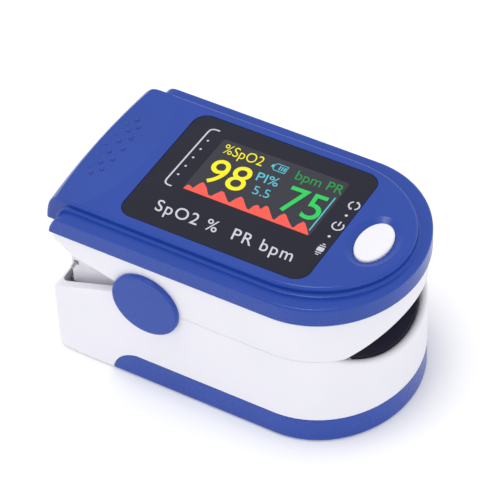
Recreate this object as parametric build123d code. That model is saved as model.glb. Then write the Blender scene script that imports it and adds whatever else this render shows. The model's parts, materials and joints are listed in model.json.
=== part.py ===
from build123d import *
import os
from math import sqrt, sin, cos, radians, pi

# Fingertip pulse oximeter: two spring-loaded jaws on side hinges, a display and one
# button in the upper jaw, two AAA cells behind a sliding cover in the lower jaw.
# +X is the mouth (rounded nose), -X the squeeze levers, +Z up, floor at z = 0.
# All lengths in millimetres. X stations below are counted from the display window's
# middle; origin_shift then puts the origin midway between nose tip and lever edge.

# ---------------------------------------------------------------- driving dimensions
origin_shift = -0.06

top_z = 30.7            # deck plane
brim_top_z = 29.2       # flat step round the deck
brim_bottom_z = 25.9    # lower edge of the blue cover
seam_z = 17.8           # jaws meet here
skirt_z = 4.84          # upper edge of the battery cover's wall

brim_w, brim_start, brim_reach = 34.0, 12.94, 15.83
deck_w, deck_start, deck_reach = 28.5, 10.94, 16.0
body_w, body_start, body_reach = 33.5, 12.8, 15.24
lever_rear = -28.65
rear_bow = 145.0

hinge_x, hinge_z = -8.93, 18.14
cap_r, ear_r, notch_r = 5.8, 5.45, 5.6
pin_r, pin_hole_r = 1.0, 1.06
cap_inner_y, cap_outer_y = 16.80, 17.55

window_l, window_w, window_r = 32.3, 25.2, 2.5
button_x, button_a, button_b = 21.24, 2.67, 4.25

cell_r, cell_y, cell_z = 5.25, 5.7, 6.2
spring_wire = 0.28

# mouth and finger channel sections (Y-Z plane)
arch_r = 24.6                      # upper arch, crown at z = 21.2
arch_crown = 21.2
arch_cz = arch_crown - arch_r
trough_z = 14.1                    # lower trough, lowest line
t_r1, t_r2, t_y1 = 40.0, 16.0, 5.0 # wide bottom arc and tighter side arcs
pad_t = 1.2

made = {}


def out(name, shape):
    """Moves a finished piece into the row frame and writes it."""
    shape = Pos(origin_shift, 0, 0) * shape
    solids = [b for b in shape.solids() if b.volume > 0.05]
    if len(solids) == 1:
        shape = solids[0]
    else:
        shape = Compound(children=list(solids))
    shape.label = name
    made[name] = shape
    export_step(shape, f"parts/{name}.step")


def plan(rear, start, reach, width, bow=rear_bow, corner=2.6):
    """Outline seen from above: straight sides, elliptical nose, bowed rear edge."""
    face = Pos((rear + start) / 2, 0) * Rectangle(start - rear, width)
    face += Pos(start, 0) * Ellipse(reach, width / 2)
    if bow:
        face = face & (Pos(rear + bow, 0) * Circle(bow))
    if corner:
        pts = [v for v in face.vertices() if v.X < rear + 4]
        face = fillet(pts, corner)
    return face


def bowed(edges, radius, at):
    """A face drawn in X-Z and swept round a far upright axis, so that its rear edge at x = at is bowed."""
    c = at + radius
    s = revolve(Plane.XZ * make_face(edges), axis=Axis((c, 0, 0), (0, 0, 1)), revolution_arc=24)
    s = Pos(c, 0, 0) * Rot(0, 0, -12) * Pos(-c, 0, 0) * s
    if abs(s.bounding_box().max.Y + s.bounding_box().min.Y) > 1:
        s = Pos(c, 0, 0) * Rot(0, 0, 24) * Pos(-c, 0, 0) * s
    return s


def prism(face, z0, z1):
    return extrude(Pos(0, 0, z0) * face, z1 - z0)


def inset(d, rear, corner=1.6, z0=0.0, z1=1.0):
    """The jaw outline moved inwards by d."""
    return prism(plan(rear, body_start, body_reach - d, body_w - 2 * d, corner=corner), z0, z1)


def side(edges, half=30.0):
    """A face drawn in X-Z and extruded both ways along Y."""
    return extrude(Plane.XZ * make_face(edges), half, both=True)


def front(edges, x0, x1):
    """A face drawn in Y-Z and extruded from x0 to x1."""
    return extrude(Plane(origin=(x0, 0, 0), x_dir=(0, 1, 0), z_dir=(1, 0, 0)) * make_face(edges), x1 - x0)


def box(x0, x1, y0, y1, z0, z1):
    return Pos((x0 + x1) / 2, (y0 + y1) / 2, (z0 + z1) / 2) * Box(x1 - x0, y1 - y0, z1 - z0)


def both(shape):
    return shape + mirror(shape, about=Plane.XZ)


def ycyl(r, y0, y1, x=hinge_x, z=hinge_z):
    """A cylinder along Y."""
    return Pos(x, (y0 + y1) / 2, z) * Rot(90, 0, 0) * Cylinder(r, abs(y1 - y0))


def xcyl(r, x0, x1, y, z):
    return Pos((x0 + x1) / 2, y, z) * Rot(0, 90, 0) * Cylinder(r, abs(x1 - x0))


def zcyl(r, x, y, z0, z1):
    return Pos(x, y, (z0 + z1) / 2) * Cylinder(r, z1 - z0)


def soften(shape, edges, sizes):
    """The largest of the given rounds that the shape takes."""
    for r in sizes:
        try:
            got = fillet(edges, r)
            if got.is_valid and got.volume > 0:
                return got
        except Exception:
            pass
    print("no round taken", sizes)
    return shape


# ------------------------------------------------------------- finger channel shapes
def trough_edges(d):
    """Three-arc trough lowered by d (d = 0 is the pad's skin), closed above."""
    c1z = trough_z + t_r1
    s = t_y1 / t_r1
    c2y = (t_r1 - t_r2) * s
    c2z = c1z - (t_r1 - t_r2) * sqrt(1 - s * s)
    r1, r2 = t_r1 + d, t_r2 + d
    ye = 15.5
    ya = r1 * s

    def low(y):
        y = abs(y)
        if y <= ya:
            return c1z - sqrt(r1 * r1 - y * y)
        return c2z - sqrt(r2 * r2 - (y - c2y) ** 2)

    a = ThreePointArc((-ye, low(ye)), (-(ye + ya) / 2, low((ye + ya) / 2)), (-ya, low(ya)))
    b = ThreePointArc((-ya, low(ya)), (0, low(0)), (ya, low(ya)))
    c = ThreePointArc((ya, low(ya)), ((ye + ya) / 2, low((ye + ya) / 2)), (ye, low(ye)))
    return [a, b, c, Line((ye, low(ye)), (ye, 24)), Line((ye, 24), (-ye, 24)), Line((-ye, 24), (-ye, low(ye)))]


def trough(d, x0, x1):
    return front(trough_edges(d), x0, x1)


def arch(d, x0, x1, floor=10.0):
    """Everything under the upper arch raised by d."""
    c = Plane(origin=(x0, 0, 0), x_dir=(0, 1, 0), z_dir=(1, 0, 0)) * (Pos(0, arch_cz) * Circle(arch_r + d))
    s = extrude(c, x1 - x0)
    return s & box(x0 - 1, x1 + 1, -25, 25, floor, 40)


# ================================================================= upper jaw shells
# ---- top cover: brim, raised deck and the rear lever in one moulding
brim = prism(plan(-26.8, brim_start, brim_reach, brim_w, bow=0, corner=0), brim_bottom_z, brim_top_z)
brim_side = side([
    Line((-27.5, 25.0), (-27.5, 25.9)), Line((-27.5, 25.9), (-25.85, 25.9)),
    Spline((-25.85, 25.9), (-25.2, 27.65), (-24.45, 28.7), (-22.6, brim_top_z), tangents=[(0.2, 1), (1, 0)]),
    Line((-22.6, brim_top_z), (32, brim_top_z)), Line((32, brim_top_z), (32, 25.0)), Line((32, 25.0), (-27.5, 25.0)),
])
brim = brim & brim_side


def upper_loop(shape, z0):
    """Edges round the top of a moulding, without the crease across it and without upright edges."""
    return [e for e in shape.edges() if e.center().Z > z0
            and not (e.bounding_box().size.Y > 25 and e.center().X < -15)
            and not (e.bounding_box().size.X < 0.01 and e.bounding_box().size.Y < 0.01)]


brim = soften(brim, upper_loop(brim, 26.2), [0.4, 0.3, 0.2])

deck = prism(plan(lever_rear - 0.9, deck_start, deck_reach, deck_w, bow=0, corner=0), 25.7, top_z)
deck_side = bowed([
    Line((lever_rear - 1.5, 25.0), (lever_rear - 1.5, 25.6)), Line((lever_rear - 1.5, 25.6), (lever_rear, 25.6)),
    Spline((lever_rear, 25.6), (-28.3, 27.8), (-27.72, 29.25), (-26.9, 30.12), (-24.6, top_z), tangents=[(0.1, 1), (1, 0)]),
    Line((-24.6, top_z), (32, top_z)), Line((32, top_z), (32, 25.0)), Line((32, 25.0), (lever_rear - 1.5, 25.0)),
], rear_bow, lever_rear)
deck = deck & deck_side
deck = soften(deck, upper_loop(deck, 26.2), [0.55, 0.4, 0.3])
cover = brim + deck
# soft inner corner where the deck rises out of the brim
inner = [e for e in cover.edges() if abs(e.center().Z - brim_top_z) < 0.01 and e.bounding_box().size.Z < 0.01
         and abs(e.center().Y) < deck_w / 2 + 0.1 and e.center().X > -22.7 and e.center().X < 27.2]
cover = soften(cover, inner, [0.45, 0.3])

# shallow thumb dish on the lever, with a curved front edge
dish_h = 300.0
dish_rim = 28.6
cover -= Pos(-17.9 - dish_rim, 0, top_z + dish_h) * Sphere(sqrt(dish_rim ** 2 + dish_h ** 2))

# sixteen small grip bumps in three staggered rows
bumps = [(-24.2, 1.34), (-24.15, 4.06), (-24.2, 6.75), (-25.65, 0), (-25.6, 2.64), (-25.2, 5.4), (-22.6, 0), (-22.8, 2.68), (-23.1, 5.35)]
for bx, by in bumps:
    d2 = (bx + 17.9 + dish_rim) ** 2 + by ** 2
    bz = top_z + dish_h - sqrt(dish_rim ** 2 + dish_h ** 2 - d2)
    if bx < -24.7:
        bz -= 0.12
    for sy in ((1, -1) if by else (1,)):
        cover += Pos(bx, sy * by, bz - 0.12) * Sphere(0.42)

# flat joint face over the upper housing, then the hollow underside
cover -= box(-25.75, 32, -20, 20, 24, 25.9)
cover -= prism(plan(-21.0, brim_start, brim_reach - 1.55, brim_w - 3.1, corner=1.5), 24, 27.7)
cover -= prism(plan(-20.0, deck_start, deck_reach - 1.65, deck_w - 3.3, corner=1.5), 24, 29.1)
# window pocket with a ledge, and the opening over the display
cover -= Pos(0, 0, 0) * prism(RectangleRounded(window_l, window_w, window_r), 29.85, 32)
disp_x0, disp_x1, disp_y0, disp_y1 = -11.5, 14.0, -5.2, 10.4
cover -= box(disp_x0 - 0.4, disp_x1 + 0.4, disp_y0 - 0.4, disp_y1 + 0.4, 28, 31)
# scooped recess round the button
scoop = loft([Pos(button_x, 0, top_z - 0.42) * Ellipse(button_a + 0.3, button_b + 0.3),
              Pos(button_x, 0, top_z + 0.06) * Ellipse(button_a + 1.5, button_b + 1.5)])
cover -= scoop
cover -= Pos(button_x, 0, 0) * prism(Ellipse(button_a + 0.13, button_b + 0.13), 28, 32)
# screw bosses down to the circuit board
screws_up = [(-15.5, 8.1), (15.8, 9.2)]
for sx, sy in screws_up:
    for s in (1, -1):
        cover += zcyl(1.8, sx, s * sy, 26.45, 29.3)
        cover -= zcyl(0.95, sx, s * sy, 26.0, 28.9)
out("top_cover", cover)

# ---- upper housing: white wall, arched partition over the finger, hinge ears
up_in = 15.3                                   # inside half width of the wall
wall = prism(plan(-25.6, body_start, body_reach, body_w, bow=0, corner=0.9), 17.83, 25.85)
wall_side = side([
    Line((-25.8, 25.85), (-25.8, 24.7)), Line((-25.8, 24.7), (-24.0, 23.9)),
    ThreePointArc((-24.0, 23.9), (-22.6, 22.7), (-20.9, 21.9)),
    Line((-20.9, 21.9), (-17.9, 21.2)), Line((-17.9, 21.2), (-14.8, 20.3)), Line((-14.8, 20.3), (-12.5, 19.55)), Line((-12.5, 19.55), (-8.9, 17.83)),
    Line((-8.9, 17.83), (32, 17.83)), Line((32, 17.83), (32, 25.85)), Line((32, 25.85), (-25.8, 25.85)),
])
d_up = body_w / 2 - up_in
wall = (wall & wall_side) - inset(d_up, -24.1, z0=15, z1=26)
wall -= both(ycyl(notch_r, 15.25, 18))
part_in = inset(d_up, -24.1, z0=17.9, z1=25.85)
partition = (arch(2.4, -15.45, 30) - arch(1.2, -16, 30)) & part_in
stop = (box(-16.5, -15.4, -13.5, 13.5, 19.6, 25) & arch(2.4, -17, -15)) & part_in
rear_floor = box(-24.2, -15.6, -13.5, 13.5, 22.3, 23.4) & part_in
skirt_pts = [(-24.2, 23.4), (-24.2, 13.3), (-21.5, 13.3), (-13.0, 15.0), (-10.5, 21.5), (-10.5, 23.4)]
skirts = both(extrude(Plane(origin=(0, 13.0, 0), x_dir=(1, 0, 0), z_dir=(0, -1, 0)) * make_face(Polyline(*skirt_pts, close=True)), -0.95))
cross = box(-24.2, -23.3, -13.5, 13.5, 18.0, 25.8)
riser = box(-24.2, -12.9, 13.0, 13.9, 23.0, 25.7)
ear = ycyl(4.1, 13.9, 15.3) + box(-12.95, -4.9, 13.9, 15.3, hinge_z, 25.8)
upper = wall + partition + stop + rear_floor + skirts + cross + both(riser) + both(ear)
# room for the spring coils beside the ears
upper -= both(ycyl(3.75, 10.45, 13.88))
upper -= both(ycyl(pin_hole_r, 9.0, 17))
# slots for the springs' upper legs and the ribbon
upper -= both(box(-22.9, -7.5, 10.4, 11.2, 16.5, 21.65))
upper -= both(box(-23.8, -23.0, 12.9, 14.1, 17.2, 18.0))
upper -= box(-20.3, -18.0, -3.4, 3.4, 21, 24.4)
# front edge of the mouth follows the arch through the nose wall
upper -= arch(0.0, 16.0, 32)
# screw posts under the board, screw heads from below
for sx, sy in screws_up:
    for s in (1, -1):
        upper += zcyl(2.5, sx, s * sy, 22.0, 25.5)
        upper -= zcyl(1.1, sx, s * sy, 15, 27)
        upper -= zcyl(1.95, sx, s * sy, 15, 22.45)
# opening for the emitter
upper -= box(3.9, 8.1, -2.1, 2.1, 20, 24)
mouth_edges = [e for e in upper.edges() if e.center().X > 22 and 17.9 < e.center().Z < 21.5 and e.bounding_box().size.Y > 5]
out("upper_housing", upper)

# ---- soft pad lining the upper arch
pad_up = (arch(1.14, -14.0, 30) - arch(0.0, -15.0, 31)) & box(-14, 30, -10.0, 10.0, 15, 30)
pad_up = pad_up & inset(1.55, -24, z0=10, z1=30)
pad_up -= box(3.0, 9.0, -2.6, 2.6, 15, 30)
out("upper_finger_pad", pad_up)
win = prism(Pos(6.0, 0) * RectangleRounded(5.9, 5.1, 0.6), 21.15, 22.22)
out("sensor_window_upper", win)
out("led_emitter", box(4.2, 7.8, -1.8, 1.8, 22.5, 23.65))
led = box(1.5, 10.5, -3.2, 3.2, 23.7, 24.3) + box(8.3, 9.8, -2.4, 2.4, 24.3, 24.9)
out("led_board", led)

# ---- display stack
out("display_window", Pos(0, 0, 0) * prism(RectangleRounded(window_l - 0.2, window_w - 0.2, window_r - 0.1), 29.88, 30.66))
out("display_panel", box(disp_x0, disp_x1, disp_y0, disp_y1, 28.5, 29.78))
bez = box(disp_x0, disp_x1, disp_y0, disp_y1, 26.5, 28.4) - box(disp_x0 + 1.2, disp_x1 - 1.2, disp_y0 + 1.2, disp_y1 - 1.2, 26, 29)
bez -= box(-13, -10, -1.6, 7.2, 26, 27.9)
out("display_bezel", bez)
flex = box(-12.3, -12.15, -1.0, 6.6, 26.55, 29.0) + box(-12.3, -11.55, -1.0, 6.6, 28.85, 29.0) + box(-12.3, -8.6, -1.0, 6.6, 26.45, 26.6)
out("display_flex", flex)

# ---- circuit board, its parts and the switch
board = prism(plan(-19.0, body_start, 11.5, 24.6, bow=0, corner=1.2), 25.6, 26.4)
for sx, sy in screws_up:
    for s in (1, -1):
        board -= zcyl(1.1, sx, s * sy, 25, 27)
out("main_board", board)
chips = [box(-6.5, -0.5, -1.4, 4.6, 26.42, 27.5), box(3.0, 7.0, 0.0, 3.2, 26.42, 27.3), box(2.6, 7.6, 4.6, 6.4, 26.42, 27.6),
         box(9.0, 11.8, 2.0, 5.0, 26.42, 27.4), box(-5.0, -3.6, 6.4, 7.2, 26.42, 26.95), box(-2.4, -1.0, 6.4, 7.2, 26.42, 26.95),
         box(-18.0, -16.8, -4.2, 4.2, 26.42, 28.2), box(1.2, 10.8, -9.6, -8.4, 26.42, 27.2),
         box(-4.0, 2.0, -3.0, 3.0, 24.7, 25.58), box(12.4, 14.2, -3.2, -1.2, 24.9, 25.58)]
out("board_chips", Compound(children=chips))
sw = box(button_x - 2.2, button_x + 2.2, -2.2, 2.2, 26.42, 27.5) - zcyl(1.1, button_x, 0, 26.6, 28)
out("tact_switch", sw)
out("switch_plunger", zcyl(0.98, button_x, 0, 27.15, 28.15))
cap_face = Pos(button_x, 0, 0) * prism(Ellipse(button_a, button_b), 28.18, 30.72)
cap_face = soften(cap_face, [e for e in cap_face.edges() if e.center().Z > 30.6], [0.35, 0.25])
btn = cap_face + Pos(button_x, 0, 0) * prism(Ellipse(button_a + 0.55, button_b + 0.55), 28.18, 28.95)
out("power_button", btn)
scr = []
for sx, sy in screws_up:
    for s in (1, -1):
        head = zcyl(1.8, sx, s * sy, 21.45, 22.4)
        head -= box(sx - 1.2, sx + 1.2, s * sy - 0.2, s * sy + 0.2, 21.0, 21.9)
        head -= box(sx - 0.2, sx + 0.2, s * sy - 1.2, s * sy + 1.2, 21.0, 21.9)
        scr.append(head + zcyl(0.92, sx, s * sy, 22.4, 28.4))
out("cover_screws", Compound(children=scr))

# ================================================================= lower jaw
low_in = 15.4
lower = prism(plan(-27.9, body_start, body_reach, body_w, corner=2.2), 0.4, 17.77)
lower_side = side([
    Line((-8.9, 17.77), (-14.0, 17.77)), Line((-14.0, 17.77), (-15.5, 17.5)), Line((-15.5, 17.5), (-24.6, 14.25)),
    ThreePointArc((-24.6, 14.25), (-26.8, 12.55), (-27.75, 9.8)),
    Line((-27.75, 9.8), (-27.95, 6.0)), ThreePointArc((-27.95, 6.0), (-27.65, 2.4), (-26.3, 0.95)),
    Line((-26.3, 0.95), (-22.5, 0.4)), Line((-22.5, 0.4), (32, 0.4)), Line((32, 0.4), (32, 17.77)), Line((32, 17.77), (-8.9, 17.77)),
])
lower = lower & lower_side


def skirt_side(grow):
    """The battery cover's wall seen from the side, grown by a gap on its open edges."""
    return side([
        Line((-16.1 - grow, -1), (-16.1 - grow, 0)),
        ThreePointArc((-16.1 - grow, 0), (-14.75 - 0.8 * grow, 3.1 + 0.6 * grow), (-11.6, skirt_z + grow)),
        Line((-11.6, skirt_z + grow), (32, skirt_z + grow)), Line((32, skirt_z + grow), (32, -1)), Line((32, -1), (-16.1 - grow, -1)),
    ])


lower -= skirt_side(0.1) - inset(1.5, -40, corner=0, z0=-2, z1=8)
lower -= box(-16.2, 32, -20, 20, -1, 1.0)
lower -= inset(body_w / 2 - low_in, -26.5, z0=5.6, z1=19)
lower -= inset(2.95, -26.5, z0=2.2, z1=5.7)
bay = box(-26.35, 23.5, -12.4, 12.4, -1, 12.0) & inset(2.05, -27, corner=0, z0=-2, z1=14)
lower -= bay
# mouth trough through the nose wall, then the hinge ears and posts
lower -= trough(0.0, 17.0, 32)
lower += both(ycyl(ear_r, low_in, body_w / 2))
lower -= both(ycyl(pin_r + 0.02, 14, 18))
lower -= both(ycyl(1.95, 16.15, 18))
screws_low = [(0.0, 13.85), (15.0, 13.3)]
for sx, sy in screws_low:
    for s in (1, -1):
        lower += zcyl(1.45, sx, s * sy, 2.0, 15.2) - box(-30, 30, -12.45, 12.45, 0, 20)
        lower -= zcyl(0.72, sx, s * sy, 7.0, 16)
# running grooves for the battery cover's ribs, open at the nose
lower -= both(box(-10.3, 30, 14.75, 18, 2.5, 3.5))
lip = [e for e in lower.edges() if e.center().X > 20 and 13.9 < e.center().Z < 17.8 and e.bounding_box().size.Y > 2.0 and e.bounding_box().size.Z > 0.15]
lower = soften(lower, lip, [0.65, 0.5, 0.4, 0.3, 0.2])
out("lower_housing", lower)

# ---- battery cover: floor plate, wrap-round skirt, rear tongue and two ribs
bc = prism(plan(-16.3, body_start, body_reach, body_w, bow=0, corner=0), 0, skirt_z) & skirt_side(0)
bc = soften(bc, [e for e in bc.edges() if abs(e.center().Z) < 0.01 and e.center().X > -15.5 and e.bounding_box().size.X > 3], [0.6, 0.4])
bc -= inset(1.35, -40, corner=0, z0=0.9, z1=8)
bc += box(-26.1, -14.0, -12.2, 12.2, 0, 0.9)
bc += both(box(-10.0, 11.0, 14.9, 15.6, 2.65, 3.35))
for k in range(6):
    bc -= box(13.0 + 1.6 * k, 13.8 + 1.6 * k, -6.5 + 0.5 * k, 6.5 - 0.5 * k, -0.1, 0.3)
arrow = prism(make_face(Polyline((4.0, -3.0), (4.0, 3.0), (9.0, 0.0), close=True)), -0.1, 0.25)
bc -= arrow
out("battery_cover", bc)

# ---- cell cradle with the rib between the cells
cr_clip = inset(2.15, -27, corner=0, z0=1.1, z1=12)
cradle = (box(-26.25, 23.3, -12.3, 12.3, 1.1, 11.75) - box(-25.35, 22.55, -11.4, 11.4, 0, 13)) & cr_clip
cradle += box(-26.0, 23.0, -0.3, 0.3, 2.0, 10.4)
for cy in (-cell_y, cell_y):
    cradle -= xcyl(1.0, 22.0, 24.5, cy, cell_z)
out("battery_cradle", cradle)


def cell(y, x_flat, sign):
    body = xcyl(cell_r, x_flat, x_flat + sign * 43.7, y, cell_z)
    body = soften(body, body.edges().filter_by(GeomType.CIRCLE), [0.5, 0.3])
    return body + xcyl(1.9, x_flat + sign * 43.6, x_flat + sign * 44.5, y, cell_z)


out("battery_1", cell(-cell_y, -22.3, 1))
out("battery_2", cell(cell_y, 19.7, -1))


def coil(x0, length, y, r=2.7, turns=3.0, w=0.28):
    """A compression spring along X."""
    h = Helix(pitch=length / turns, height=length, radius=r)
    pl = Plane(origin=h @ 0, z_dir=h % 0)
    s = sweep(pl * Circle(w), path=h)
    return Pos(x0, y, cell_z) * Rot(0, 90, 0) * s


bridge = box(-25.3, -25.05, -9.4, 9.4, 3.2, 9.2) - box(-26, -24, -1.0, 1.0, 1.0, 11)
bridge += box(-25.3, -25.05, -1.4, 1.4, 10.5, 11.6) + both(box(-25.3, -25.05, 1.05, 3.0, 8.8, 11.6))
bridge += xcyl(1.2, -25.1, -24.85, cell_y, cell_z)
spring_a = coil(-24.75, 2.15, -cell_y)
out("bridge_contact", bridge)
out("bridge_spring", spring_a)
neg = box(22.25, 22.5, 3.0, 8.3, 3.6, 8.9)
out("negative_contact", neg)
out("negative_spring", coil(20.0, 1.95, cell_y, turns=3.0))
out("positive_contact", box(22.25, 22.5, -8.3, -3.0, 3.6, 8.9))

# ---- finger bed: rigid trough under the pad with a flat rim, screwed to the posts
bed = (trough(1.24, -15.0, 30) - trough(1.24, -16, 31))
band = (box(-15.0, 30, -11.2, 11.2, 11, 15.0) & trough(1.94, -15.0, 30)) - trough(1.26, -16, 31)
cheek = both(box(-15.0, 30, 10.45, 11.2, 13.6, 16.1))
rim = both(box(-15.0, -2.0, 10.45, 12.1, 15.3, 16.1)) + both(box(-2.0, 30, 10.45, 16, 15.3, 16.1))
back = box(-16.0, -15.0, -11.2, 11.2, 12.1, 16.3)
back += box(-26.35, -15.9, -12.75, 12.75, 11.8, 12.3) - box(-20.2, -18.2, -3.4, 3.4, 11, 13)
bed = (band + cheek + rim + back) & inset(body_w / 2 - low_in + 0.08, -25, z0=10, z1=20)
bed -= both(ycyl(3.75, 10.45, 14.2))
bed -= both(box(-13.2, -4.6, 13.05, 16, 10, 20))
bed -= box(3.9, 8.1, -2.1, 2.1, 10, 15)
for sx, sy in screws_low:
    for s in (1, -1):
        bed -= zcyl(0.85, sx, s * sy, 10, 18)
bed = bed - (trough(1.24, 22.0, 31) & box(20, 31, -10.4, 10.4, 10, 20))
out("finger_bed", bed)

pad_lo = (box(-14.9, 30, -10.4, 10.4, 12, 18) & trough(1.2, -14.9, 30)) - trough(0.0, -16, 31)
pad_lo = pad_lo & inset(1.5, -24, z0=10, z1=20)
pad_lo -= box(3.0, 9.0, -2.6, 2.6, 10, 18)
out("lower_finger_pad", pad_lo)
out("sensor_window_lower", prism(Pos(6.0, 0) * RectangleRounded(5.9, 5.1, 0.6), 13.0, 14.08))
out("photodiode", box(4.2, 7.8, -1.8, 1.8, 11.75, 12.95))
out("sensor_board", box(1.0, 10.8, -2.5, 2.5, 11.1, 11.7))
scr = []
for sx, sy in screws_low:
    for s in (1, -1):
        head = zcyl(1.3, sx, s * sy, 16.12, 16.8)
        head -= box(sx - 0.9, sx + 0.9, s * sy - 0.16, s * sy + 0.16, 16.5, 17)
        head -= box(sx - 0.16, sx + 0.16, s * sy - 0.9, s * sy + 0.9, 16.5, 17)
        scr.append(head + zcyl(0.7, sx, s * sy, 9.0, 16.12))
out("bed_screws", Compound(children=scr))

# ---- hinge: pins, snap caps and torsion springs
for tag, s in (("right", -1), ("left", 1)):
    pin = ycyl(pin_r, s * 10.6, s * 16.1)
    out("hinge_pin_" + tag, pin)
    cap = ycyl(cap_r, s * cap_inner_y, s * cap_outer_y)
    cap = soften(cap, [e for e in cap.edges() if abs(e.center().Y) > cap_outer_y - 0.05], [0.35, 0.25])
    cap += ycyl(1.9, s * 16.2, s * 16.9)
    cap += ycyl(5.2, s * 16.76, s * 16.85)
    out("hinge_cap_" + tag, cap)

# torsion springs: coil and lower leg belong to the lower jaw, the upper leg to the upper jaw
for tag, s in (("right", -1), ("left", 1)):
    h = Helix(pitch=0.62, height=1.24, radius=2.7)
    wire = sweep(Plane(origin=h @ 0, z_dir=h % 0) * Circle(spring_wire), path=h)
    # helix axis onto Y, wire ends at the bottom of the coil
    wire = Rot(-90, 0, 0) * Rot(0, 0, 90) * wire
    wire = Pos(hinge_x, 11.38, hinge_z) * wire
    leg_z = hinge_z - 2.7
    leg = xcyl(spring_wire, -20.5, hinge_x, 12.62, leg_z) + Pos(-20.5, 12.62, leg_z) * Sphere(spring_wire)
    leg += Pos(-20.5, 12.06, leg_z) * Rot(90, 0, 0) * Cylinder(spring_wire, 1.12) + Pos(-20.5, 11.5, leg_z) * Sphere(spring_wire)
    sp = wire + leg
    sp = sp if s > 0 else mirror(sp, about=Plane.XZ)
    print("torsion", tag, len(sp.solids()), round(sp.volume, 2))
    out("torsion_spring_" + tag, sp)
    a, b = Vector(hinge_x + 1.0, 10.8, hinge_z + 3.0), Vector(-23.4, 10.8, 17.6)
    run = b - a
    top_leg = extrude(Plane(origin=(a.X, a.Y, a.Z), z_dir=(run.X, run.Y, run.Z)) * Circle(spring_wire), run.length)
    top_leg += Pos(b.X, b.Y, b.Z) * Sphere(spring_wire)
    top_leg += Pos(b.X, 12.9, b.Z) * Rot(90, 0, 0) * Cylinder(spring_wire, 4.2) + Pos(b.X, 15.0, b.Z) * Sphere(spring_wire)
    top_leg = top_leg if s > 0 else mirror(top_leg, about=Plane.XZ)
    out("spring_leg_" + tag, top_leg)

# flat ribbon from the lower sensor to the display board, looped behind the finger stop
ribbon = box(-19.2, -19.05, -3.0, 3.0, 12.3, 25.45)
out("sensor_ribbon", ribbon)

made_boxes = {k: v.bounding_box() for k, v in made.items()}
lo = [min(getattr(b.min, a) for b in made_boxes.values()) for a in "XYZ"]
hi = [max(getattr(b.max, a) for b in made_boxes.values()) for a in "XYZ"]
print("box", [round(v, 3) for v in lo], [round(v, 3) for v in hi])
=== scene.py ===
import bpy, bmesh, json
from math import sin, cos, tan, radians
from mathutils import Vector, Matrix


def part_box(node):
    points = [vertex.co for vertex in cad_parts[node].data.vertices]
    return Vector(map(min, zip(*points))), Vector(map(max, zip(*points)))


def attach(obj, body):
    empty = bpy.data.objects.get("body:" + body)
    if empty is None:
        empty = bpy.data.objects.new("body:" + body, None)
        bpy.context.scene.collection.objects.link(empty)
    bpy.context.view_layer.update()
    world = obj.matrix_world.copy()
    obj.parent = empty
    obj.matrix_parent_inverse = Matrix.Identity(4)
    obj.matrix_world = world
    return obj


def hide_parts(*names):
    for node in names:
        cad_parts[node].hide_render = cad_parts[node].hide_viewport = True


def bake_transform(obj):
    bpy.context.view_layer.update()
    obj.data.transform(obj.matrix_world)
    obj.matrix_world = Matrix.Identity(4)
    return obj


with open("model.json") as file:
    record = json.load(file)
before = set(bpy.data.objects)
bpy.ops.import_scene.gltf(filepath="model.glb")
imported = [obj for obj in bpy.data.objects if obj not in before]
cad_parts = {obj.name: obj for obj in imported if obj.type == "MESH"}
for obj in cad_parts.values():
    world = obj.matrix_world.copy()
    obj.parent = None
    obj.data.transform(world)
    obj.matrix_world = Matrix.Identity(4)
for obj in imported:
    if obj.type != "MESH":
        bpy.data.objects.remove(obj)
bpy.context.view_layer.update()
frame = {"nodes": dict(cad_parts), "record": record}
nodes = frame["nodes"]
S = -0.06 / 1000.0          # stations below are counted from the display window's middle


def mm(x, y, z):
    return Vector((x / 1000.0 + S, y / 1000.0, z / 1000.0))


# ------------------------------------------------------------------ camera and stage
def set_camera():
    az, el, roll = radians(32.3), radians(44.58), radians(-3.0)
    back = Vector((sin(az) * cos(el), -cos(az) * cos(el), sin(el)))
    right = Vector((cos(az), sin(az), 0.0))
    up = back.cross(right).normalized()
    r2 = right * cos(roll) + up * sin(roll)
    u2 = up * cos(roll) - right * sin(roll)
    target = mm(-7.02, 7.64, 11.18)
    dist = 0.4351
    cam = bpy.data.cameras.new("camera")
    obj = bpy.data.objects.new("camera", cam)
    bpy.context.scene.collection.objects.link(obj)
    m = Matrix((r2, u2, back)).transposed().to_4x4()
    m.translation = target + back * dist
    obj.matrix_world = m
    cam.sensor_width = 36.0
    cam.lens = 2749.0 / 480.0 * 36.0
    cam.clip_start = 0.01
    cam.clip_end = 20.0
    bpy.context.scene.camera = obj


set_camera()
scene = bpy.context.scene
scene.view_settings.view_transform = "Standard"
scene.view_settings.look = "None"


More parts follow.
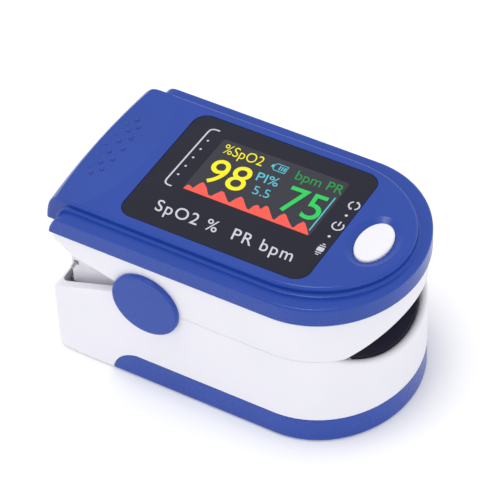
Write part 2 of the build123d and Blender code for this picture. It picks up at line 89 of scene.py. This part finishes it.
# ------------------------------------------------------------------ material helpers
class Mat:
    def __init__(self, name):
        self.m = bpy.data.materials.new(name)
        self.m.use_nodes = True
        self.t = self.m.node_tree
        self.t.nodes.clear()
        self.out = self.t.nodes.new("ShaderNodeOutputMaterial")
        self.p = self.t.nodes.new("ShaderNodeBsdfPrincipled")
        self.t.links.new(self.p.outputs[0], self.out.inputs[0])
        self.tc = self.t.nodes.new("ShaderNodeTexCoord")

    def n(self, kind, **kw):
        n = self.t.nodes.new(kind)
        for k, v in kw.items():
            setattr(n, k, v)
        return n

    def link(self, a, b):
        self.t.links.new(a, b)

    def set(self, **kw):
        names = {"base": "Base Color", "rough": "Roughness", "metal": "Metallic", "ior": "IOR", "spec": "Specular IOR Level",
                 "coat": "Coat Weight", "coat_rough": "Coat Roughness", "sheen": "Sheen Weight", "sheen_rough": "Sheen Roughness",
                 "trans": "Transmission Weight", "emit": "Emission Color", "emit_s": "Emission Strength", "alpha": "Alpha",
                 "sss": "Subsurface Weight", "sss_r": "Subsurface Radius", "sss_s": "Subsurface Scale"}
        for k, v in kw.items():
            self.p.inputs[names[k]].default_value = v
        return self

    def noise(self, scale, detail=3.0, rough=0.5, vec=None, stretch=None):
        src = self.tc.outputs["Object"]
        if stretch:
            mp = self.n("ShaderNodeMapping")
            mp.inputs["Scale"].default_value = stretch
            self.link(src, mp.inputs["Vector"])
            src = mp.outputs["Vector"]
        n = self.n("ShaderNodeTexNoise")
        n.inputs["Scale"].default_value = scale
        n.inputs["Detail"].default_value = detail
        n.inputs["Roughness"].default_value = rough
        self.link(vec or src, n.inputs["Vector"])
        return n.outputs["Fac"]

    def ramp(self, fac, stops):
        r = self.n("ShaderNodeValToRGB")
        e = r.color_ramp.elements
        while len(e) < len(stops):
            e.new(0.5)
        for i, (pos, col) in enumerate(stops):
            e[i].position = pos
            e[i].color = (*col, 1.0) if len(col) == 3 else col
        self.link(fac, r.inputs["Fac"])
        return r.outputs["Color"]

    def maprange(self, fac, a, b, c, d):
        m = self.n("ShaderNodeMapRange")
        m.inputs["From Min"].default_value = a
        m.inputs["From Max"].default_value = b
        m.inputs["To Min"].default_value = c
        m.inputs["To Max"].default_value = d
        self.link(fac, m.inputs["Value"])
        return m.outputs["Result"]

    def bump(self, fac, strength, distance, prev=None):
        b = self.n("ShaderNodeBump")
        b.inputs["Strength"].default_value = strength
        b.inputs["Distance"].default_value = distance
        self.link(fac, b.inputs["Height"])
        if prev:
            self.link(prev, b.inputs["Normal"])
        return b.outputs["Normal"]

    def finish(self, color=None, rough=None, normal=None):
        if color is not None:
            self.link(color, self.p.inputs["Base Color"])
        if rough is not None:
            self.link(rough, self.p.inputs["Roughness"])
        if normal is not None:
            self.link(normal, self.p.inputs["Normal"])
        return self.m


def mixed(c, k):
    return tuple(min(1.0, v * k) for v in c)


def plastic(name, col, rough, var=0.05, grain=5200, grain_amt=0.25, spec=0.5, coat=0.0, coat_rough=0.1, sss=0.0, wave=0.05):
    """Moulded plastic: faint flow variation in colour, spark-eroded fine grain, uneven gloss."""
    m = Mat(name).set(spec=spec, coat=coat, coat_rough=coat_rough)
    if sss:
        m.set(sss=sss, sss_s=0.002, sss_r=(1.0, 0.95, 1.0))
    flow = m.noise(95, 2.0, 0.5)
    c = m.ramp(flow, [(0.3, mixed(col, 1 - var)), (0.7, mixed(col, 1 + var))])
    soft = m.noise(420, 4.0, 0.6)
    r = m.maprange(soft, 0.3, 0.7, rough - 0.035, rough + 0.035)
    g = m.noise(grain, 2.0, 0.5)
    n = m.bump(g, grain_amt, 0.00002)
    n = m.bump(m.noise(260, 2.0, 0.4), wave, 0.0001, n)
    return m.finish(c, r, n)


BLUE = (0.009, 0.054, 0.36)
WHITE = (0.835, 0.828, 0.895)
M = {}
M["blue_shell"] = plastic("blue_abs", BLUE, 0.26, 0.04, 5200, 0.04, spec=0.42, wave=0.02)
M["white_shell"] = plastic("white_abs", WHITE, 0.40, 0.012, 5200, 0.05, sss=0.08, wave=0.02)
M["white_button"] = plastic("white_button", (0.87, 0.855, 0.92), 0.34, 0.012, 5200, 0.04, sss=0.08, wave=0.02)
M["grey_frame"] = plastic("grey_frame", (0.42, 0.43, 0.45), 0.5, 0.04, 4200, 0.3)
M["dark_frame"] = plastic("dark_frame", (0.022, 0.022, 0.026), 0.45, 0.1, 4200, 0.3)


def silicone():
    m = Mat("black_silicone").set(spec=0.32, sheen=0.15, sheen_rough=0.5)
    c = m.ramp(m.noise(700, 4.0, 0.6), [(0.3, (0.012, 0.010, 0.036)), (0.7, (0.019, 0.016, 0.052))])
    r = m.maprange(m.noise(1500, 3.0, 0.6), 0.3, 0.7, 0.50, 0.62)
    n = m.bump(m.noise(3800, 3.0, 0.6), 0.35, 0.00003)
    return m.finish(c, r, n)


def lens_black():
    m = Mat("black_window").set(spec=0.34)
    c = m.ramp(m.noise(160, 2.0, 0.5), [(0.3, (0.002, 0.002, 0.015)), (0.7, (0.004, 0.004, 0.019))])
    r = m.maprange(m.noise(900, 4.0, 0.65), 0.3, 0.7, 0.14, 0.20)
    n = m.bump(m.noise(2500, 2.0, 0.5), 0.03, 0.00002)
    return m.finish(c, r, n)


def metal(name, col, rough, scratch=(1, 1, 1), amt=0.2):
    m = Mat(name).set(metal=1.0)
    s = m.noise(2600, 4.0, 0.6, stretch=scratch)
    c = m.ramp(s, [(0.25, mixed(col, 0.86)), (0.75, mixed(col, 1.08))])
    r = m.maprange(s, 0.25, 0.75, rough - 0.06, rough + 0.08)
    return m.finish(c, r, m.bump(s, amt, 0.00002))


def board_mat():
    m = Mat("circuit_board").set(spec=0.5)
    v = m.n("ShaderNodeTexBrick")
    v.inputs["Scale"].default_value = 420
    v.inputs["Color1"].default_value = (0.012, 0.13, 0.055, 1)
    v.inputs["Color2"].default_value = (0.016, 0.16, 0.07, 1)
    v.inputs["Mortar"].default_value = (0.03, 0.24, 0.11, 1)
    v.inputs["Mortar Size"].default_value = 0.06
    m.link(m.tc.outputs["Object"], v.inputs["Vector"])
    n = m.bump(v.outputs["Fac"], 0.3, 0.00002)
    r = m.maprange(m.noise(900, 3.0, 0.6), 0.3, 0.7, 0.28, 0.38)
    return m.finish(v.outputs["Color"], r, n)


def flex_mat():
    m = Mat("amber_flex").set(spec=0.5)
    w = m.n("ShaderNodeTexWave", wave_type="BANDS", bands_direction="Y")
    w.inputs["Scale"].default_value = 520
    w.inputs["Distortion"].default_value = 0.0
    m.link(m.tc.outputs["Object"], w.inputs["Vector"])
    c = m.ramp(w.outputs["Fac"], [(0.35, (0.50, 0.21, 0.02)), (0.6, (0.30, 0.10, 0.012))])
    return m.finish(c, m.maprange(m.noise(800), 0.3, 0.7, 0.25, 0.35), m.bump(w.outputs["Fac"], 0.3, 0.00002))


def clear_window(name, col):
    m = Mat(name).set(spec=0.5, coat=0.4, coat_rough=0.05)
    c = m.ramp(m.noise(500, 2.0, 0.5), [(0.3, mixed(col, 0.85)), (0.7, mixed(col, 1.1))])
    return m.finish(c, m.maprange(m.noise(1500), 0.3, 0.7, 0.08, 0.16), m.bump(m.noise(1800), 0.05, 0.00002))


M["black_silicone"] = silicone()
M["black_window"] = lens_black()
M["screw_steel"] = metal("screw_steel", (0.50, 0.50, 0.52), 0.32, (1, 1, 1), 0.15)
M["pin_steel"] = metal("pin_steel", (0.62, 0.62, 0.64), 0.24, (1, 0.05, 1), 0.15)
M["spring_steel"] = metal("spring_steel", (0.48, 0.47, 0.47), 0.30, (0.2, 1, 0.2), 0.2)
M["contact_nickel"] = metal("contact_nickel", (0.66, 0.62, 0.55), 0.28, (1, 0.1, 1), 0.15)
M["circuit_board"] = board_mat()
M["amber_flex"] = flex_mat()
M["clear_window"] = clear_window("sensor_window", (0.16, 0.018, 0.020))
M["display_glass"] = clear_window("display_glass", (0.02, 0.02, 0.024))
M["chip_epoxy"] = plastic("chip_epoxy", (0.018, 0.018, 0.02), 0.55, 0.1, 4200, 0.5)
M["sensor_chip"] = plastic("sensor_chip", (0.05, 0.05, 0.07), 0.25, 0.1, 4200, 0.1)
M["led_chip"] = plastic("led_chip", (0.75, 0.74, 0.66), 0.35, 0.03, 4200, 0.2)


def cell_mat(name, x_plain, x_plus):
    """Printed cell jacket: dark body, coppery shoulder at the positive end, bare steel ends."""
    m = Mat(name).set(coat=0.0)
    sep = m.n("ShaderNodeSeparateXYZ")
    m.link(m.tc.outputs["Object"], sep.inputs[0])
    t = m.maprange(sep.outputs["X"], x_plain / 1000.0 + S, x_plus / 1000.0 + S, 0.0, 1.0)
    steel, dark, copper = (0.62, 0.61, 0.58), (0.020, 0.022, 0.028), (0.55, 0.20, 0.06)
    c = m.ramp(t, [(0.0, steel), (0.010, steel), (0.012, dark), (0.745, dark), (0.75, copper), (0.968, copper), (0.972, steel), (1.0, steel)])
    k = m.ramp(t, [(0.0, (1, 1, 1)), (0.010, (1, 1, 1)), (0.012, (0.0, 0.0, 0.0)), (0.745, (0, 0, 0)), (0.75, (0.8, 0.8, 0.8)), (0.972, (1, 1, 1))])
    m.link(k, m.p.inputs["Metallic"])
    n = m.noise(1400, 3.0, 0.5)
    return m.finish(c, m.maprange(n, 0.3, 0.7, 0.24, 0.32), m.bump(n, 0.05, 0.00002))


M["cell_jacket"] = cell_mat("cell_jacket_1", -22.3, 22.2)
CELL_2 = cell_mat("cell_jacket_2", 19.7, -24.8)
M["print_grey"] = plastic("print_grey", (0.62, 0.61, 0.68), 0.45, 0.02, 4200, 0.05)

slot_of = {s["node"]: s["material_slot"] for s in frame["record"]["subparts"]}
for name, obj in nodes.items():
    obj.data.materials.clear()
    obj.data.materials.append(CELL_2 if name == "battery_2" else M[slot_of[name]])


# ------------------------------------------------------------------ piece helpers
def add(name, mesh, mat, body):
    obj = bpy.data.objects.new(name, mesh)
    scene.collection.objects.link(obj)
    mesh.materials.clear()
    mesh.materials.append(mat)
    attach(obj, body)
    return obj


def polygon(name, pts, z0, z1, mat, body):
    """A flat closed piece cut to an outline, given in millimetre stations."""
    bm = bmesh.new()
    vs = [bm.verts.new(mm(x, y, z0)) for x, y in pts]
    f = bm.faces.new(vs)
    bm.normal_update()
    if f.normal.z > 0:
        f.normal_flip()
    got = bmesh.ops.extrude_face_region(bm, geom=[f])
    for v in [g for g in got["geom"] if isinstance(g, bmesh.types.BMVert)]:
        v.co.z = z1 / 1000.0
    bmesh.ops.triangulate(bm, faces=bm.faces[:])
    bmesh.ops.recalc_face_normals(bm, faces=bm.faces[:])
    me = bpy.data.meshes.new(name)
    bm.to_mesh(me)
    bm.free()
    return add(name, me, mat, body)


def rounded(pts, r, n=8):
    """Rounds a polygon's corners."""
    out = []
    k = len(pts)
    for i in range(k):
        p0, p1, p2 = Vector(pts[i - 1]), Vector(pts[i]), Vector(pts[(i + 1) % k])
        a, b = (p0 - p1).normalized(), (p2 - p1).normalized()
        ang = a.angle(b)
        d = min(r / max(0.05, tan(ang / 2)), (p0 - p1).length * 0.49, (p2 - p1).length * 0.49)
        q0, q1 = p1 + a * d, p1 + b * d
        for j in range(n + 1):
            t = j / n
            out.append(tuple(q0 * (1 - t) ** 2 + p1 * (2 * t * (1 - t)) + q1 * t ** 2))
    return out


def stroke(path, w, closed=False):
    """Outline of a line of width w along a path."""
    left, right = [], []
    k = len(path)
    for i in range(k):
        p = Vector(path[i])
        a = Vector(path[i - 1]) if (i > 0 or closed) else None
        b = Vector(path[(i + 1) % k]) if (i < k - 1 or closed) else None
        d = ((p - a).normalized() if a is not None else Vector((0, 0))) + ((b - p).normalized() if b is not None else Vector((0, 0)))
        d.normalize()
        n = Vector((-d.y, d.x))
        left.append(tuple(p + n * w / 2))
        right.append(tuple(p - n * w / 2))
    return left + right[::-1]


def arc(cx, cy, r, a0, a1, n=24):
    return [(cx + r * cos(radians(a0 + (a1 - a0) * i / n)), cy + r * sin(radians(a0 + (a1 - a0) * i / n))) for i in range(n + 1)]


def text_mesh(string, bold=0.0, spacing=1.0, res=6):
    cu = bpy.data.curves.new("t", "FONT")
    cu.body = string
    cu.size = 1.0
    cu.offset = bold
    cu.space_character = spacing
    cu.extrude = 0.5
    cu.resolution_u = res
    cu.fill_mode = "BOTH"
    ob = bpy.data.objects.new("t", cu)
    scene.collection.objects.link(ob)
    dg = bpy.context.evaluated_depsgraph_get()
    me = bpy.data.meshes.new_from_object(ob.evaluated_get(dg))
    bpy.data.objects.remove(ob)
    bpy.data.curves.remove(cu)
    return me


def lettering(name, string, bl, br, tl, z0, z1, mat, body, bold=0.0, spacing=1.0, cap=None):
    """Lettering laid in a parallelogram: bl-br is the baseline, tl the top of the capitals."""
    me = text_mesh(string, bold, spacing)
    xs = [v.co.x for v in me.vertices]
    x0, x1 = min(xs), max(xs)
    if cap is None:
        cap = 0.70
        if string.replace(".", "").isdigit():
            ys = [v.co.y for v in me.vertices]
            cap = max(ys)
    bl, br, tl = Vector(bl), Vector(br), Vector(tl)
    for v in me.vertices:
        u = (v.co.x - x0) / (x1 - x0)
        w = v.co.y / cap
        p = bl + (br - bl) * u + (tl - bl) * w
        z = z0 if v.co.z < 0 else z1
        v.co = mm(p.x, p.y, z)
    bm = bmesh.new()
    bm.from_mesh(me)
    bmesh.ops.remove_doubles(bm, verts=bm.verts, dist=1e-7)
    bmesh.ops.recalc_face_normals(bm, faces=bm.faces[:])
    bm.to_mesh(me)
    bm.free()
    me.name = name
    return add(name, me, mat, body)


# ------------------------------------------------------------------ sensor ribbon
def ribbon_path():
    """Centre line in X-Z: up from the sensor tray, a slack loop behind the finger stop, up to the board."""
    ctrl = [(-19.12, 12.35), (-19.12, 13.4), (-19.5, 15.2), (-20.6, 17.2), (-20.5, 19.3), (-19.4, 21.0), (-19.12, 22.6), (-19.12, 24.0), (-19.12, 25.42)]
    out = []
    for i in range(len(ctrl) - 1):
        p0, p1, p2, p3 = ctrl[max(i - 1, 0)], ctrl[i], ctrl[i + 1], ctrl[min(i + 2, len(ctrl) - 1)]
        for k in range(6):
            t = k / 6.0
            out.append(tuple(0.5 * (2 * b + (c - a) * t + (2 * a - 5 * b + 4 * c - d) * t * t + (3 * b - a - 3 * c + d) * t ** 3)
                             for a, b, c, d in zip(p0, p1, p2, p3)))
    out.append(ctrl[-1])
    return out


def ribbon():
    path = ribbon_path()
    bm = bmesh.new()
    rows = []
    for i, (x, z) in enumerate(path):
        a, b = path[max(i - 1, 0)], path[min(i + 1, len(path) - 1)]
        d = Vector((b[0] - a[0], b[1] - a[1])).normalized()
        nx, nz = d.y * 0.07, -d.x * 0.07
        rows.append([bm.verts.new(mm(x + sx * nx, y, z + sx * nz)) for sx, y in ((1, -3.0), (1, 3.0), (-1, 3.0), (-1, -3.0))])
    for r0, r1 in zip(rows, rows[1:]):
        for k in range(4):
            bm.faces.new((r0[k], r0[(k + 1) % 4], r1[(k + 1) % 4], r1[k]))
    bm.faces.new(rows[0][::-1])
    bm.faces.new(rows[-1])
    bmesh.ops.recalc_face_normals(bm, faces=bm.faces[:])
    me = bpy.data.meshes.new("sensor_ribbon_strip")
    bm.to_mesh(me)
    bm.free()
    me.materials.append(M["amber_flex"])
    obj = bpy.data.objects.new("sensor_ribbon_strip", me)
    scene.collection.objects.link(obj)
    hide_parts("sensor_ribbon")
    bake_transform(obj)
    return obj


ribbon()

# ------------------------------------------------------------------ display graphics
def glow(name, col, strength=1.0):
    m = Mat(name).set(spec=0.3, emit_s=strength)
    n = m.noise(2600, 2.0, 0.5)
    c = m.ramp(n, [(0.3, mixed(col, 0.93)), (0.7, mixed(col, 1.05))])
    m.link(c, m.p.inputs["Emission Color"])
    d = m.ramp(n, [(0.3, mixed(col, 0.08)), (0.7, mixed(col, 0.12))])
    return m.finish(d, m.maprange(n, 0.3, 0.7, 0.28, 0.34), m.bump(n, 0.03, 0.00001))


G = {
    "yellow": glow("glow_yellow", (0.95, 0.86, 0.01), 0.95),
    "green": glow("glow_green", (0.02, 0.62, 0.11), 0.95),
    "dgreen": glow("glow_dark_green", (0.004, 0.33, 0.06), 0.9),
    "cyan": glow("glow_cyan", (0.10, 0.55, 0.66), 0.9),
    "red": glow("glow_red", (0.95, 0.105, 0.075), 0.95),
    "screen": glow("screen_back", (0.060, 0.060, 0.086), 0.45),
}
UP = "upper_jaw"
win_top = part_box("display_window")[1].z * 1000.0
z_a = win_top - 0.01
z_b = win_top + 0.008
z_c = win_top + 0.022
screen = [(-9.72, 8.95), (-9.80, -3.42), (12.2, -3.45), (12.2, 9.2)]
polygon("display_screen", rounded(screen, 0.55), z_a, z_b, G["screen"], UP)
wave = [(-9.66, -3.47), (-9.50, -2.6), (-9.2, -2.42), (-8.38, -2.74), (-8.05, -1.6), (-7.68, -0.96), (-7.25, -1.15), (-6.54, -1.76), (-5.6, -2.95), (-5.06, -3.0), (-4.72, -2.25),
        (-4.19, -1.29), (-3.7, -1.35), (-3.13, -1.96), (-2.2, -2.85), (-1.84, -2.87), (-1.5, -1.77), (-0.98, -0.98), (-0.55, -1.1), (0.26, -2.0), (1.1, -2.85), (1.47, -2.85),
        (1.64, -1.94), (2.06, -1.36), (2.45, -1.5), (2.79, -1.88), (3.02, -1.85), (3.19, -1.2), (3.41, -0.88), (3.8, -1.0), (4.74, -2.07), (5.6, -2.95), (5.92, -2.95), (6.13, -1.87), (6.55, -1.1),
        (7.0, -1.25), (7.92, -2.2), (8.9, -3.05), (9.24, -3.1), (9.48, -2.12), (9.96, -1.26), (10.4, -1.5), (11.12, -2.3), (11.7, -3.0), (11.98, -3.47)]
polygon("display_pulse_wave", wave, z_b - 0.004, z_c, G["red"], UP)
lettering("display_reading_left", "98", (-8.2, -0.62), (-1.5, -0.22), (-8.55, 4.72), z_b - 0.004, z_c, G["yellow"], UP, bold=0.003)
lettering("display_reading_right", "75", (5.1, -0.72), (11.5, -0.5), (4.75, 4.77), z_b - 0.004, z_c, G["green"], UP, bold=0.003)
lettering("display_unit_left", "%SpO2", (-8.5, 6.15), (-1.65, 6.2), (-8.75, 8.23), z_b - 0.004, z_c, G["yellow"], UP, bold=-0.004)
lettering("display_unit_right", "bpm PR", (4.15, 6.19), (12.15, 6.39), (3.95, 8.17), z_b - 0.004, z_c, G["dgreen"], UP, bold=0.0)
lettering("display_unit_mid", "PI%", (-0.95, 3.23), (2.7, 3.36), (-1.25, 5.08), z_b - 0.004, z_c, G["cyan"], UP, bold=0.004)
lettering("display_reading_mid", "5.5", (0.05, 0.42), (2.8, 0.55), (-0.33, 2.15), z_b - 0.004, z_c, G["cyan"], UP, bold=-0.004)
polygon("display_bar", stroke([(11.69, 5.45), (11.61, -2.49)], 0.22), z_b - 0.004, z_c, G["cyan"], UP)
# battery symbol: rounded outline, nub to the left, three charge bars
bx0, bx1, by0, by1 = 0.12, 2.25, 6.45, 7.95
polygon("display_cell_outline", stroke([(bx1, by0), (bx0 + 0.3, by0), (bx0, by0 + 0.3), (bx0, by1 - 0.3), (bx0 + 0.3, by1), (bx1, by1), (bx1, by0 + 0.01)], 0.16), z_b - 0.004, z_c, G["cyan"], UP)
polygon("display_cell_nub", [(bx0 - 0.42, 6.9), (bx0 + 0.05, 6.9), (bx0 + 0.05, 7.5), (bx0 - 0.42, 7.5)], z_b - 0.004, z_c, G["cyan"], UP)
for i in range(3):
    x = 1.0 + 0.42 * i
    polygon("display_cell_bar_%d" % (i + 1), [(x, by0 + 0.3), (x + 0.22, by0 + 0.3), (x + 0.22, by1 - 0.3), (x, by1 - 0.3)], z_b - 0.004, z_c, G["cyan"], UP)

# ------------------------------------------------------------------ printing on the window
PM = M["print_grey"]
bracket = [(-11.2, 10.15), (-12.0, 10.13), (-12.42, 9.98), (-12.66, 9.7), (-12.76, 9.2), (-12.95, -2.9), (-12.85, -3.4), (-12.6, -3.72), (-12.2, -3.88), (-11.5, -3.86)]
polygon("print_bracket", stroke(bracket, 0.27), z_a, z_b, PM, UP)
for i, (x, y) in enumerate([(-11.76, 7.41), (-11.79, 5.25), (-11.84, 3.12), (-11.88, 0.95), (-11.93, -1.19)]):
    polygon("print_dot_%d" % (i + 1), arc(x, y, 0.19, 0, 345, 23), z_a, z_b, PM, UP)
for i, (x, y) in enumerate([(14.95, 2.88), (14.83, -2.19)]):
    polygon("print_mark_%d" % (i + 1), arc(x, y, 0.24, 0, 345, 23), z_a, z_b, PM, UP)
lettering("print_units", "SpO2 %  PR bpm", (-11.15, -9.5), (12.4, -9.5), (-11.6, -7.15), z_a, z_b, PM, UP, bold=0.004, spacing=1.15)
# rotate symbol: two arcs with small arrow heads
cx, cy = 14.99, 5.27
for i, (a0, a1) in enumerate([(-60, 70), (120, 250)]):
    polygon("print_turn_%d" % (i + 1), stroke(arc(cx, cy, 0.82, a0, a1, 20), 0.24), z_a, z_b, PM, UP)
    tx, ty = cx + 0.82 * cos(radians(a1)), cy + 0.82 * sin(radians(a1))
    d = Vector((-sin(radians(a1)), cos(radians(a1))))
    n = Vector((cos(radians(a1)), sin(radians(a1))))
    tip = Vector((tx, ty)) + d * 0.34
    polygon("print_turn_head_%d" % (i + 1), [tuple(tip), tuple(Vector((tx, ty)) - n * 0.3), tuple(Vector((tx, ty)) + n * 0.3)], z_a, z_b, PM, UP)
# power symbol
cx, cy = 14.93, 0.32
polygon("print_power_ring", stroke(arc(cx, cy, 0.86, 130, 410, 36), 0.24), z_a, z_b, PM, UP)
polygon("print_power_bar", stroke([(cx, cy + 0.05), (cx, cy + 1.05)], 0.24), z_a, z_b, PM, UP)
# level bars
for i, (dx, h) in enumerate([(-1.15, 0.5), (-0.75, 1.0)]):
    polygon("print_level_%d" % (i + 1), [(14.99 - h / 2, -5.16 + dx - 0.09), (14.99 + h / 2, -5.16 + dx - 0.09), (14.99 + h / 2, -5.16 + dx + 0.09), (14.99 - h / 2, -5.16 + dx + 0.09)], z_a, z_b, PM, UP)
    polygon("print_level_%d" % (i + 3), [(14.99 - h / 2, -5.16 - dx - 0.09), (14.99 + h / 2, -5.16 - dx - 0.09), (14.99 + h / 2, -5.16 - dx + 0.09), (14.99 - h / 2, -5.16 - dx + 0.09)], z_a, z_b, PM, UP)
polygon("print_level_mid", rounded([(14.44, -5.6), (15.54, -5.6), (15.54, -4.72), (14.44, -4.72)], 0.12, 3), z_a, z_b, PM, UP)

# ------------------------------------------------------------------ floor and light
bm = bmesh.new()
bmesh.ops.create_grid(bm, x_segments=1, y_segments=1, size=3.0)
for v in bm.verts:
    v.co.z = -0.00002
me = bpy.data.meshes.new("floor")
bm.to_mesh(me)
bm.free()
floor = bpy.data.objects.new("floor", me)
scene.collection.objects.link(floor)
fm = Mat("floor").set(base=(0.90, 0.90, 0.915, 1), rough=0.6, spec=0.15, emit=(1.0, 1.0, 0.99, 1), emit_s=0.13)
me.materials.append(fm.m)

world = bpy.data.worlds.new("studio")
scene.world = world
world.use_nodes = True
bg = world.node_tree.nodes["Background"]
bg.inputs[0].default_value = (1.0, 1.0, 1.0, 1)
bg.inputs[1].default_value = 0.86


def area(name, loc, aim, size, power, col=(1, 1, 1)):
    li = bpy.data.lights.new(name, "AREA")
    li.shape = "RECTANGLE"
    li.size, li.size_y = size
    li.energy = power
    li.color = col
    ob = bpy.data.objects.new(name, li)
    scene.collection.objects.link(ob)
    ob.location = loc
    ob.rotation_euler = (Vector(aim) - Vector(loc)).to_track_quat("-Z", "Y").to_euler()
    return ob


area("key", (-0.06, -0.10, 0.85), (0, 0, 0.01), (0.24, 0.24), 1.4)
area("fill_left", (-0.65, -0.65, 0.30), (0, 0, 0.012), (0.5, 0.4), 0.5)
area("fill_right", (0.75, -0.35, 0.35), (0, 0, 0.012), (0.4, 0.4), 0.4)
